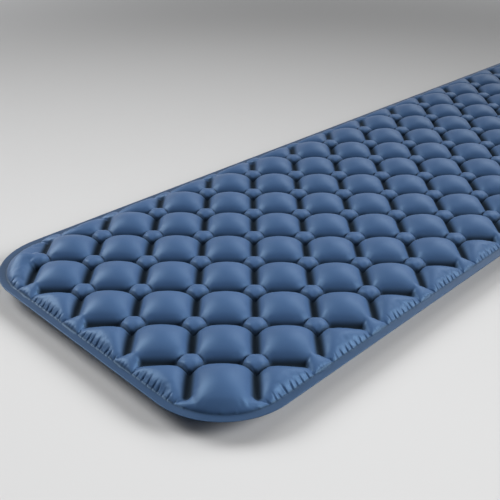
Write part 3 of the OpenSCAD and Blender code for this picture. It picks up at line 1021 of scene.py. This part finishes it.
# Valve pieces: the model's own shapes with their moulded edges rounded
def moulded_piece(node, body_name, edge, finish):
    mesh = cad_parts[node].data.copy()
    mesh.name = node + "_moulded"
    mesh.materials.clear()
    mesh.materials.append(finishes[finish])
    shape = bmesh.new()
    shape.from_mesh(mesh)
    bmesh.ops.remove_doubles(shape, verts=shape.verts, dist=JOIN_GAP)
    bmesh.ops.dissolve_limit(shape, angle_limit=FLAT_ANGLE, verts=shape.verts, edges=shape.edges)
    shape.to_mesh(mesh)
    shape.free()
    draft = new_object(node + "_draft", mesh)
    rounding = draft.modifiers.new("rounding", "BEVEL")
    rounding.width = edge
    rounding.segments = EDGE_SEGMENTS
    rounding.limit_method = "ANGLE"
    rounding.angle_limit = EDGE_ANGLE
    made = finished_mesh(draft)
    bpy.data.objects.remove(draft)
    made.shade_smooth()
    made.set_sharp_from_angle(angle=SHARP_ANGLE)
    piece = new_object(node + "_moulded", made)
    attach(piece, body_name)
    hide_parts(node)


for row in VALVE_PIECES:
    moulded_piece(*row)


# Pressed lines down the middle of the weld strips: one ribbed bar for each strip of the lattice
def vector_of(tree, **parts):
    node = add(tree, "ShaderNodeCombineXYZ")
    for axis, value in parts.items():
        tree.links.new(value, node.inputs[axis])
    return node.outputs["Vector"]


def bar_of(tree, size):
    node = add(tree, "GeometryNodeMeshCube")
    tree.links.new(size, node.inputs["Size"])
    return node.outputs["Mesh"]


def part_of(tree, value, part):
    node = add(tree, "ShaderNodeMath", operation="MULTIPLY")
    node.inputs[1].default_value = part
    tree.links.new(value, node.inputs[0])
    return node.outputs["Value"]


def placed_on(tree, points, shape):
    node = add(tree, "GeometryNodeInstanceOnPoints")
    tree.links.new(points, node.inputs["Points"])
    tree.links.new(shape, node.inputs["Instance"])
    return node


def weld_line_tree():
    tree = bpy.data.node_groups.new("weld_lines", "GeometryNodeTree")
    face = tree.interface
    face.new_socket("Geometry", in_out="INPUT", socket_type="NodeSocketGeometry")
    for label in ("Length", "Width", "Height", "Rib Width", "Rib Height"):
        face.new_socket(label, in_out="INPUT", socket_type="NodeSocketFloat")
    face.new_socket("Ribs", in_out="INPUT", socket_type="NodeSocketInt")
    face.new_socket("Finish", in_out="INPUT", socket_type="NodeSocketMaterial")
    face.new_socket("Geometry", in_out="OUTPUT", socket_type="NodeSocketGeometry")
    link = tree.links.new
    given = add(tree, "NodeGroupInput").outputs
    result = add(tree, "NodeGroupOutput")
    bar = bar_of(tree, vector_of(tree, X=given["Length"], Y=given["Width"], Z=given["Height"]))
    rib_size = vector_of(tree, X=given["Rib Width"], Y=given["Width"], Z=given["Rib Height"])
    row = add(tree, "GeometryNodeMeshLine", mode="END_POINTS")
    link(given["Ribs"], row.inputs["Count"])
    for socket, part in (("Start Location", -RIB_PART), ("Offset", RIB_PART)):
        link(vector_of(tree, X=part_of(tree, given["Length"], part)), row.inputs[socket])
    ribs = placed_on(tree, row.outputs["Mesh"], bar_of(tree, rib_size))
    whole = add(tree, "GeometryNodeJoinGeometry")
    link(bar, whole.inputs["Geometry"])
    link(ribs.outputs["Instances"], whole.inputs["Geometry"])
    turn = add(tree, "GeometryNodeInputNamedAttribute", data_type="FLOAT")
    turn.inputs["Name"].default_value = "turn"
    strips = placed_on(tree, given["Geometry"], whole.outputs["Geometry"])
    link(vector_of(tree, Z=turn.outputs["Attribute"]), strips.inputs["Rotation"])
    solid = add(tree, "GeometryNodeRealizeInstances")
    link(strips.outputs["Instances"], solid.inputs["Geometry"])
    finish = add(tree, "GeometryNodeSetMaterial")
    link(solid.outputs["Geometry"], finish.inputs["Geometry"])
    link(given["Finish"], finish.inputs["Material"])
    link(finish.outputs["Geometry"], result.inputs["Geometry"])
    return tree


def strip_middles():
    corners = {(0, 0), (ACROSS - 1, ALONG - 1), (ACROSS - 1, 0), (0, ALONG - 1)}
    points = []
    turns = []
    for i in range(ACROSS):
        for j in range(ALONG):
            if (i, j) not in corners:
                x = (i + 0.5 - ACROSS / 2) * HALF
                y = (j + 0.5 - ALONG / 2) * HALF
                points.append((x, y, WELD_PLANE + FILM))
                turns.append(math.pi / 4 if (i + j) % 2 == 0 else -math.pi / 4)
    return points, turns


def weld_lines():
    points, turns = strip_middles()
    mesh = bpy.data.meshes.new("weld_line_points")
    mesh.from_pydata(points, [], [])
    point_values(mesh, "turn", turns)
    draft = new_object("weld_line_points", mesh)
    maker = draft.modifiers.new("weld_lines", "NODES")
    maker.node_group = weld_line_tree()
    sizes = {
        "Length": LINE_LENGTH,
        "Width": LINE_WIDTH,
        "Height": LINE_HEIGHT,
        "Rib Width": RIB_WIDTH,
        "Rib Height": RIB_HEIGHT,
        "Ribs": RIBS,
        "Finish": finishes["pressed_film"],
    }
    for socket in maker.node_group.interface.items_tree:
        if socket.in_out == "INPUT" and socket.name in sizes:
            maker[socket.identifier] = sizes[socket.name]
    made = finished_mesh(draft)
    bpy.data.objects.remove(draft)
    made.name = "weld_lines"
    piece = new_object("weld_lines", made)
    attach(piece, "pad")


weld_lines()


# The pale studio wall is seen by camera, glossy and transmission rays
def seen_rays(tree):
    rays = add(tree, "ShaderNodeLightPath")
    seen = rays.outputs["Is Camera Ray"]
    for kind in ("Is Glossy Ray", "Is Transmission Ray"):
        either = add(tree, "ShaderNodeMath", operation="MAXIMUM")
        tree.links.new(seen, either.inputs[0])
        tree.links.new(rays.outputs[kind], either.inputs[1])
        seen = either.outputs["Value"]
    return seen


def either_shader(tree, factor, first, second, output):
    blend = add(tree, "ShaderNodeMixShader")
    tree.links.new(factor, blend.inputs["Fac"])
    tree.links.new(first, blend.inputs[1])
    tree.links.new(second, blend.inputs[2])
    tree.links.new(blend.outputs["Shader"], tree.nodes[output].inputs["Surface"])


# Far from the pad the floor runs into the wall
def floor_material():
    material, tree, surface = nodes_of("pale_floor")
    surface.inputs["Base Color"].default_value = FLOOR_COLOUR
    surface.inputs["Roughness"].default_value = FLOOR_ROUGH
    link = tree.links.new
    place = add(tree, "ShaderNodeTexCoord")
    reach = add(tree, "ShaderNodeVectorMath", operation="LENGTH")
    far = add(tree, "ShaderNodeMapRange", interpolation_type="SMOOTHSTEP")
    far.inputs["From Min"].default_value = FLOOR_FADE[0]
    far.inputs["From Max"].default_value = FLOOR_FADE[1]
    part = add(tree, "ShaderNodeMath", operation="MULTIPLY")
    glow = add(tree, "ShaderNodeEmission")
    glow.inputs["Color"].default_value = WALL
    link(place.outputs["Object"], reach.inputs[0])
    link(reach.outputs["Value"], far.inputs["Value"])
    link(far.outputs["Result"], part.inputs[0])
    link(seen_rays(tree), part.inputs[1])
    near = surface.outputs["BSDF"]
    either_shader(tree, part.outputs["Value"], near, glow.outputs["Emission"], "Material Output")
    return material


floor_mesh = bpy.data.meshes.new("floor")
floor_corners = []
for side_x, side_y in ((-1, -1), (1, -1), (1, 1), (-1, 1)):
    floor_corners.append((side_x * FLOOR_HALF, side_y * FLOOR_HALF, FLOOR_LEVEL))
floor_mesh.from_pydata(floor_corners, [], [(0, 1, 2, 3)])
floor_mesh.materials.append(floor_material())
floor = new_object("floor", floor_mesh)


def soft_lamp(name, place, aim, size, power, spread_angle):
    lamp = bpy.data.lights.new(name, "AREA")
    lamp.size = size
    lamp.energy = power
    lamp.spread = math.radians(spread_angle)
    holder = new_object(name, lamp)
    holder.location = place
    holder.rotation_euler = (Vector(aim) - Vector(place)).to_track_quat("-Z", "Y").to_euler()


def studio_world():
    world = bpy.data.worlds.new("studio")
    bpy.context.scene.world = world
    world.use_nodes = True
    tree = world.node_tree
    fill = tree.nodes["Background"]
    fill.inputs["Color"].default_value = FILL_COLOUR
    fill.inputs["Strength"].default_value = FILL_STRENGTH
    wall = add(tree, "ShaderNodeBackground")
    wall.inputs["Color"].default_value = WALL
    light = fill.outputs["Background"]
    either_shader(tree, seen_rays(tree), light, wall.outputs["Background"], "World Output")


def photo_camera():
    azimuth = math.radians(CAMERA_AZIMUTH)
    elevation = math.radians(CAMERA_ELEVATION)
    roll = math.radians(CAMERA_ROLL)
    level = math.cos(elevation)
    ahead = Vector((math.sin(azimuth) * level, math.cos(azimuth) * level, -math.sin(elevation)))
    right = Vector((math.cos(azimuth), -math.sin(azimuth), 0))
    up = right.cross(ahead)
    tilted_right = right * math.cos(roll) + up * math.sin(roll)
    tilted_up = up * math.cos(roll) - right * math.sin(roll)
    lens = bpy.data.cameras.new("photo_camera")
    lens.lens = CAMERA_LENS
    lens.sensor_width = CAMERA_SENSOR
    camera = new_object("photo_camera", lens)
    placing = Matrix((tilted_right, tilted_up, -ahead)).transposed().to_4x4()
    placing.translation = CAMERA_PLACE
    camera.matrix_world = placing
    bpy.context.scene.camera = camera


for lamp_name, setting in LAMPS.items():
    soft_lamp(lamp_name, *setting)
studio_world()
photo_camera()
bpy.context.scene.view_settings.view_transform = "Standard"
